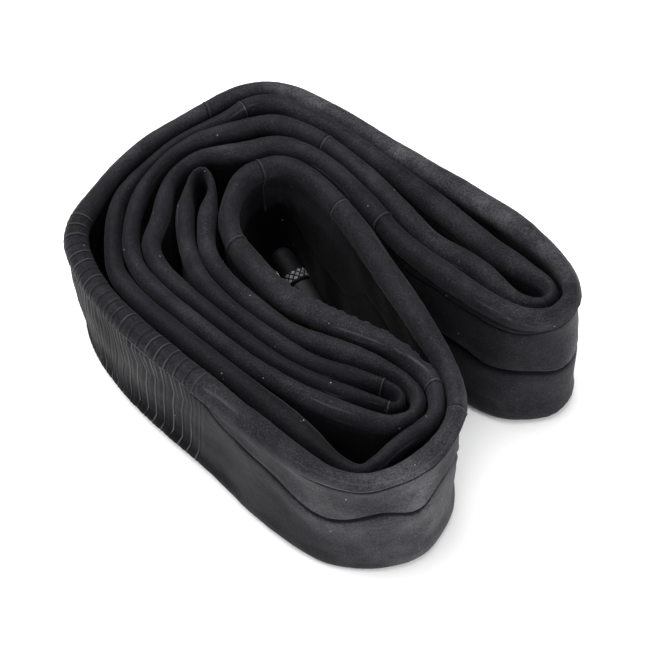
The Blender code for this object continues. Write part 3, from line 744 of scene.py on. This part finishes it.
def butyl_material():
    """Charcoal rubber: fine grain, dust on what is exposed with painted light and shade in the same value,
    painted highlights on ridges, painted shade in grooves, smears and white specks.
    """
    s = Shader("butyl")
    dust_and_painted_light = s.attribute("dust_and_painted_light")
    line = s.attribute("line")
    # patches of dust, thicker where more has settled, over the clean rubber
    cloud = s.ramp(s.noise(38.0, 4.0), 0.3, 0.7)
    smear = s.noise(30.0, 5.0, 0.6, stretch=(1.0, 1.0, 2.6))
    grain = s.noise(1500.0, 3.0, 0.7)
    powder = s.ramp(s.noise(1350.0, 6.0, 0.85), 0.36, 0.64, 0.42, 1.62)
    mottle = s.ramp(s.noise(170.0, 4.0, 0.6), 0.33, 0.68, 0.40, 0.72)
    blotch = s.ramp(s.noise(240.0, 4.0, 0.6), 0.36, 0.64, 0.54, 0.84)
    clean = s.mix(cloud, *CLEAN_RUBBER)
    dusty = s.mix(cloud, *DUSTY_RUBBER)
    dusty = s.mix(s.math("MULTIPLY", s.ramp(dust_and_painted_light, 0.6, 1.7), blotch), dusty, THICK_DUST)
    thickness = s.math("MULTIPLY", s.math("MINIMUM", dust_and_painted_light, 0.85), mottle)
    colour = s.mix(s.math("MULTIPLY", thickness, powder), clean, dusty)
    smeared = s.math("MULTIPLY", s.ramp(smear, 0.54, 0.76), dust_and_painted_light)
    colour = s.mix(s.math("MULTIPLY", smeared, 0.7), colour, SMEAR)
    # grains of dust, finer than the cover
    grains = s.math("MULTIPLY", s.ramp(s.noise(2300.0, 2.0, 0.6), 0.56, 0.70), s.math("ADD", dust_and_painted_light, 0.12))
    colour = s.mix(s.math("MULTIPLY", grains, 0.52), colour, DUST_GRAIN)
    # painted shade: below 0, deep between the folds and in the hollow, the colour goes near black
    colour = s.mix(s.ramp(dust_and_painted_light, -0.6, 0.0, 0.7, 0.0), colour, PAINTED_DEEP_SHADE)
    # painted highlight on the ridges, and painted shade in the grooves
    colour = s.mix(s.math("MULTIPLY", s.ramp(line, 0.25, 0.95), 0.75), colour, PAINTED_RIDGE_HIGHLIGHT)
    colour = s.mix(s.ramp(line, -0.9, -0.15, 0.88, 0.0), colour, PAINTED_GROOVE_SHADE)
    # a white speck in some of the cells
    cells = s.add("ShaderNodeTexVoronoi", feature="F1")
    cells.inputs["Scale"].default_value = 230.0
    s.link(s.place, cells.inputs["Vector"])
    lot = s.add("ShaderNodeSeparateColor")
    s.link(cells.outputs["Color"], lot.inputs["Color"])
    speck = s.ramp(cells.outputs["Distance"], 0.045, 0.075, 1.0, 0.0)
    specks = s.math("MULTIPLY", speck, s.ramp(lot.outputs["Red"], 0.65, 0.98))
    colour = s.mix(specks, colour, WHITE_SPECK)
    s.link(colour, s.out.inputs["Base Color"])
    s.link(s.ramp(s.noise(60.0, 4.0), 0.3, 0.7, 0.46, 0.60), s.out.inputs["Roughness"])
    # the specular follows the same value, low in the painted shade so that the recesses show no reflection
    s.link(s.ramp(dust_and_painted_light, -0.35, 0.15, 0.003, 0.037), s.out.inputs["Specular IOR Level"])
    s.out.inputs["Sheen Weight"].default_value = 0.02
    s.out.inputs["Sheen Roughness"].default_value = 0.5
    normal = s.bump(grain, 0.00016, 0.75)
    normal = s.bump(s.noise(260.0, 3.0), 0.00035, 0.35, normal)
    s.link(normal, s.out.inputs["Normal"])
    return s.material


def plain_rubber(name, colour, roughness):
    """Moulded rubber, slightly mottled, with a fine grain."""
    s = Shader(name)
    lighter = tuple(min(1.0, c * 1.6) for c in colour)
    s.link(s.mix(s.ramp(s.noise(140.0, 4.0), 0.35, 0.7), colour, lighter), s.out.inputs["Base Color"])
    s.link(s.ramp(s.noise(300.0), 0.3, 0.7, roughness - 0.06, roughness + 0.08), s.out.inputs["Roughness"])
    s.link(s.bump(s.noise(900.0), 0.0001, 0.6), s.out.inputs["Normal"])
    s.out.inputs["Specular IOR Level"].default_value = 0.2
    return s.material


def metal(name, colour, roughness, rubber_below=None):
    """Turned metal, with fine lathe marks and a little tarnish. Below the height rubber_below, in
    millimetres, a skin of moulded rubber covers it."""
    s = Shader(name)
    dull = tuple(c * 0.62 for c in colour)
    shade = s.mix(s.ramp(s.noise(420.0, 4.0), 0.45, 0.75), colour, dull)
    if rubber_below is None:
        s.out.inputs["Metallic"].default_value = 1.0
    else:
        covered = s.ramp(s.attribute("height_mm"), rubber_below, rubber_below + 0.1, 1.0, 0.0)
        shade = s.mix(covered, shade, STEM_SKIN)
        s.link(s.math("SUBTRACT", 1.0, covered), s.out.inputs["Metallic"])
        s.out.inputs["Specular IOR Level"].default_value = 0.1
    s.link(shade, s.out.inputs["Base Color"])
    s.link(s.ramp(s.noise(700.0), 0.3, 0.7, roughness - 0.08, roughness + 0.14), s.out.inputs["Roughness"])
    s.link(s.bump(s.noise(1800.0, 2.0), 0.00006, 0.5), s.out.inputs["Normal"])
    return s.material


def cap_material():
    """Black plastic, with a painted highlight on the knurl's crests."""
    s = Shader("cap_plastic")
    crests = s.ramp(s.attribute("stand_mm"), 0.07, 0.17)
    # painted highlight on the knurl's crests, in patches
    patchy_highlight = s.math("MULTIPLY", crests, s.ramp(s.noise(700.0, 3.0), 0.3, 0.7, 0.35, 1.0))
    plastic = s.mix(s.ramp(s.noise(240.0, 4.0), 0.35, 0.75), *CAP_PLASTIC)
    s.link(s.mix(patchy_highlight, plastic, CAP_CREST_HIGHLIGHT), s.out.inputs["Base Color"])
    s.link(s.ramp(s.noise(500.0), 0.3, 0.7, 0.42, 0.56), s.out.inputs["Roughness"])
    s.out.inputs["Specular IOR Level"].default_value = 0.03
    s.link(s.bump(s.noise(1200.0), 0.00005, 0.5), s.out.inputs["Normal"])
    return s.material


# ---- the valve --------------------------------------------------------------------------------------

VALVE_AXIS = Vector((-0.49, 0.83, 0.27)).normalized()
THREAD_PITCH = 25.4 / 32 * MM
RUBBER_TOP = 20.2 * MM
RUBBER_SHOWN_TO = 21.3              # in millimetres: the thread's first turns are under moulded rubber
STEM_TOP = 29 * MM
THREAD_DEPTH = 0.38                 # in millimetres
CAP_FOOT = 20.8 * MM
CAP_TOP = 35.5 * MM
SKIRT_TOP = 25.4 * MM
CAP_SIDES, STEM_SIDES = 132, 72
KNURL_COUNT = 12                    # diamonds round the skirt
KNURL_PITCH = 2.2 * MM              # height of one diamond
KNURL_DEPTH = 0.28                  # in millimetres
SPRING_FOOT = 12.9 * MM
SPRING_TOP = 20.7 * MM
SPRING_RADIUS = 0.88 * MM
SPRING_WIRE = 0.12 * MM
SPRING_TURNS = 7
SPRING_STEPS = 24                   # to a turn
WIRE_SIDES = 8


def valve_frame():
    """The valve's own axes: origin at the joint's point, +Z along the stem."""
    joint = next(j for j in frame["record"]["behaviour"]["joints"] if j["name"] == "cap_turn")
    turn = VALVE_AXIS.to_track_quat("Z", "Y").to_matrix()
    return np.array(joint["pos_m"]), np.array(turn)


def turned(name, outline, sides, origin, axes, shape=None):
    """A turned piece: an outline of (radius, height) pairs spun round the valve's axis. The outline is
    closed. shape(angle, height, radius) may add millimetres to the radius. Both the added millimetres and
    the height along the axis are kept as point attributes."""
    outline = np.array(outline)
    angle = np.arange(sides) * 2 * math.pi / sides
    radius = np.repeat(outline[:, :1], sides, axis=1)
    height = np.repeat(outline[:, 1:], sides, axis=1)
    turn = np.broadcast_to(angle[None, :], radius.shape)
    stand = shape(turn, height, radius) if shape else np.zeros_like(radius)
    radius = radius + stand * MM
    local = np.stack((radius * np.cos(turn), radius * np.sin(turn), height), axis=2)
    # rings run along the outline, so that faces point outwards
    points = local @ axes.T + origin
    return grid_object(name, points, {"stand_mm": stand, "height_mm": height / MM})


def smooth_outline(corners, spacing, round_off):
    """Resamples a closed outline evenly and rounds its corners a little."""
    corners = np.array(corners, float)
    closed = np.concatenate((corners, corners[:1]))
    lengths = np.linalg.norm(np.diff(closed, axis=0), axis=1)
    travelled = np.concatenate(([0.0], np.cumsum(lengths)))
    count = int(travelled[-1] / spacing)
    at = np.linspace(0, travelled[-1], count, endpoint=False)
    row = np.stack([np.interp(at, travelled, closed[:, c]) for c in (0, 1)], axis=1)
    row = smooth_loop(row, max(1, int(round_off / spacing)))
    row[:, 0] = np.maximum(row[:, 0], 0.02 * MM)
    return row


def knurl(angle, height, radius):
    """Diamonds on the cap's skirt."""
    low, high, fade = CAP_FOOT + 0.5 * MM, SKIRT_TOP - 0.5 * MM, 0.3 * MM
    band = between(height, low, high, fade) * (radius > 4.2 * MM)
    around = angle * KNURL_COUNT
    up = 2 * math.pi * height / KNURL_PITCH
    ridges = np.minimum(np.abs(np.sin((around + up) / 2)), np.abs(np.sin((around - up) / 2)))
    return band * (KNURL_DEPTH * ridges ** 0.8 - 0.02)


def make_cap(origin, axes):
    """The dust cap, a knurled skirt under a plain dome, hollow for the stem."""
    outline = (
        (3.95 * MM, CAP_FOOT), (4.3 * MM, CAP_FOOT), (4.38 * MM, CAP_FOOT + 0.3 * MM), (4.38 * MM, SKIRT_TOP),
        (4.15 * MM, SKIRT_TOP + 0.5 * MM), (4.05 * MM, STEM_TOP + MM), (3.85 * MM, 31.8 * MM),
        (3.45 * MM, 33.4 * MM), (2.7 * MM, 34.6 * MM), (1.6 * MM, 35.25 * MM), (0.6 * MM, CAP_TOP),
        (0.02 * MM, CAP_TOP), (0.02 * MM, 30.75 * MM), (3.65 * MM, 30.75 * MM), (3.95 * MM, 30.45 * MM),
    )
    row = smooth_outline(outline, 0.14 * MM, 0.3 * MM)
    return turned("cap_shell", row, CAP_SIDES, origin, axes, knurl)


def thread(angle, height, radius):
    """The stem's thread, a true helix."""
    on = between(height, RUBBER_TOP + 0.9 * MM, STEM_TOP - 0.5 * MM, 0.4 * MM) * (radius > 3.3 * MM)
    phase = height / THREAD_PITCH - angle / (2 * math.pi)
    saw = np.abs(2 * (phase - np.floor(phase)) - 1)
    return on * THREAD_DEPTH * (saw - 0.5)


def make_insert(origin, axes):
    """The stem's brass insert, with its bore open for the core."""
    outline = (
        (2.0 * MM, 3 * MM), (3.2 * MM, 3 * MM), (3.2 * MM, RUBBER_TOP), (3.4 * MM, RUBBER_TOP + 0.3 * MM),
        (3.64 * MM, RUBBER_TOP + 0.6 * MM), (3.64 * MM, STEM_TOP - 0.4 * MM), (3.25 * MM, STEM_TOP),
        (2.6 * MM, STEM_TOP), (2.55 * MM, 17 * MM), (2.0 * MM, 15.5 * MM),
    )
    row = smooth_outline(outline, 0.16 * MM, 0.16 * MM)
    return turned("stem_insert_threaded", row, STEM_SIDES, origin, axes, thread)


def make_spring(origin, axes):
    """The core's closing spring, coiled round the pin."""
    steps, sides = SPRING_TURNS * SPRING_STEPS, WIRE_SIDES
    turn = 2 * math.pi * SPRING_TURNS * np.arange(steps + 1) / steps
    height = np.linspace(SPRING_FOOT + SPRING_WIRE, SPRING_TOP - SPRING_WIRE, steps + 1)
    around = 2 * math.pi * np.arange(sides) / sides
    radius = SPRING_RADIUS + SPRING_WIRE * np.cos(around)[None, :]
    up = height[:, None] + SPRING_WIRE * np.sin(around)[None, :]
    local = np.stack((radius * np.cos(turn)[:, None], radius * np.sin(turn)[:, None], up), axis=2)
    points = (local @ axes.T + origin).reshape(-1, 3)
    index = np.arange(len(points)).reshape(steps + 1, sides)
    ahead = np.roll(index, -1, axis=1)
    faces = np.stack((index[:-1], index[1:], ahead[1:], ahead[:-1]), axis=2).reshape(-1, 4).tolist()
    faces += [index[0].tolist(), index[-1][::-1].tolist()]
    mesh = bpy.data.meshes.new("spring_coil")
    mesh.from_pydata(points.tolist(), [], faces)
    mesh.shade_smooth()
    spring = bpy.data.objects.new("spring_coil", mesh)
    bpy.context.scene.collection.objects.link(spring)
    return spring


# ---- studio -----------------------------------------------------------------------------------------

CAMERA_ELEVATION = math.radians(52)
CAMERA_DISTANCE = 753 * MM
CAMERA_LENS = 121.8
CAMERA_SENSOR = 36
CAMERA_TARGET = Vector((0.0020, -0.0028, 0.030))
LIGHT_TARGET = Vector((0, 0, 0.03))
WORLD_STRENGTH = 0.576
BACKDROP_STRENGTH = 1.05
FLOOR_REACH = 1.3
FLOOR_GAP = 0.2 * MM
# name, place, size, power: large soft boxes, all aimed at the bundle
LIGHTS = (
    ("top", (-0.42, 0.24, 1.25), 1.7, 34.8),
    ("front", (-0.30, -1.25, 0.50), 0.9, 7.2),
    ("rim", (1.05, -0.60, 0.36), 0.6, 7.2),
)


def make_camera():
    data = bpy.data.cameras.new("camera")
    data.sensor_width = CAMERA_SENSOR
    data.lens = CAMERA_LENS
    camera = bpy.data.objects.new("camera", data)
    bpy.context.scene.collection.objects.link(camera)
    back = Vector((0, -math.cos(CAMERA_ELEVATION), math.sin(CAMERA_ELEVATION)))
    camera.location = CAMERA_TARGET + back * CAMERA_DISTANCE
    camera.rotation_euler = (CAMERA_TARGET - camera.location).to_track_quat("-Z", "Y").to_euler()
    bpy.context.scene.camera = camera


def make_light(name, place, size, power):
    data = bpy.data.lights.new(name, "AREA")
    data.shape = "DISK"
    data.size = size
    data.energy = power
    light = bpy.data.objects.new(name, data)
    bpy.context.scene.collection.objects.link(light)
    light.location = place
    light.rotation_euler = (LIGHT_TARGET - Vector(place)).to_track_quat("-Z", "Y").to_euler()


def make_world():
    world = bpy.data.worlds.new("studio")
    world.use_nodes = True
    background = world.node_tree.nodes["Background"]
    background.inputs["Color"].default_value = (1, 1, 1, 1)
    # the backdrop itself is white, and the light that it gives is weaker
    nodes, links = world.node_tree.nodes, world.node_tree.links
    path = nodes.new("ShaderNodeLightPath")
    strength = nodes.new("ShaderNodeMapRange")
    strength.inputs["To Min"].default_value = WORLD_STRENGTH
    strength.inputs["To Max"].default_value = BACKDROP_STRENGTH
    links.new(path.outputs["Is Camera Ray"], strength.inputs["Value"])
    links.new(strength.outputs["Result"], background.inputs["Strength"])
    bpy.context.scene.world = world
    bpy.context.scene.view_settings.view_transform = "Standard"


def make_floor():
    mesh = bpy.data.meshes.new("floor")
    corners = [(x * FLOOR_REACH, y * FLOOR_REACH, 0) for x, y in ((-1, -1), (1, -1), (1, 1), (-1, 1))]
    mesh.from_pydata(corners, [], [(0, 1, 2, 3)])
    floor = bpy.data.objects.new("floor", mesh)
    floor.location.z = -FLOOR_GAP
    bpy.context.scene.collection.objects.link(floor)
    s = Shader("floor")
    s.link(s.mix(s.ramp(s.noise(3.0), 0.3, 0.7), *FLOOR_COLOURS), s.out.inputs["Base Color"])
    s.out.inputs["Roughness"].default_value = 1.0
    s.out.inputs["Specular IOR Level"].default_value = 0.0
    mesh.materials.append(s.material)


# ---- assembly ---------------------------------------------------------------------------------------

def dress(obj, material):
    obj.data.materials.clear()
    obj.data.materials.append(material)


def main():
    make_camera()
    make_world()
    for name, place, size, power in LIGHTS:
        make_light(name, place, size, power)
    make_floor()

    points, line, dust_and_painted_light = tube_points(route_curve())
    tube = grid_object("tube_skin", points, {"line": line, "dust_and_painted_light": dust_and_painted_light})
    dress(tube, butyl_material())
    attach(tube, "tube")
    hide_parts(*TUBE_LENGTHS)

    origin, axes = valve_frame()
    brass = metal("brass", BRASS, 0.30)
    cap = make_cap(origin, axes)
    dress(cap, cap_material())
    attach(cap, "cap")
    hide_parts("dust_cap")
    insert = make_insert(origin, axes)
    dress(insert, metal("threaded_brass", BRASS, 0.30, rubber_below=RUBBER_SHOWN_TO))
    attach(insert, "tube")
    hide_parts("valve_stem_insert")

    spring = make_spring(origin, axes)
    dress(spring, metal("spring_steel", SPRING_STEEL, 0.26))
    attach(spring, "tube")
    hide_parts("core_spring")
    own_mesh(spring)

    looks = (
        (plain_rubber("valve_rubber", VALVE_RUBBER, 0.6), ("valve_rubber",)),
        (brass, ("core_plug", "core_barrel", "core_pin", "core_cup")),
        (plain_rubber("seal_rubber", SEAL_RUBBER, 0.55), ("core_gasket", "core_cup_seal", "cap_washer")),
    )
    for material, nodes in looks:
        for node in nodes:
            for slot in frame["nodes"][node].material_slots:
                slot.material = material


main()
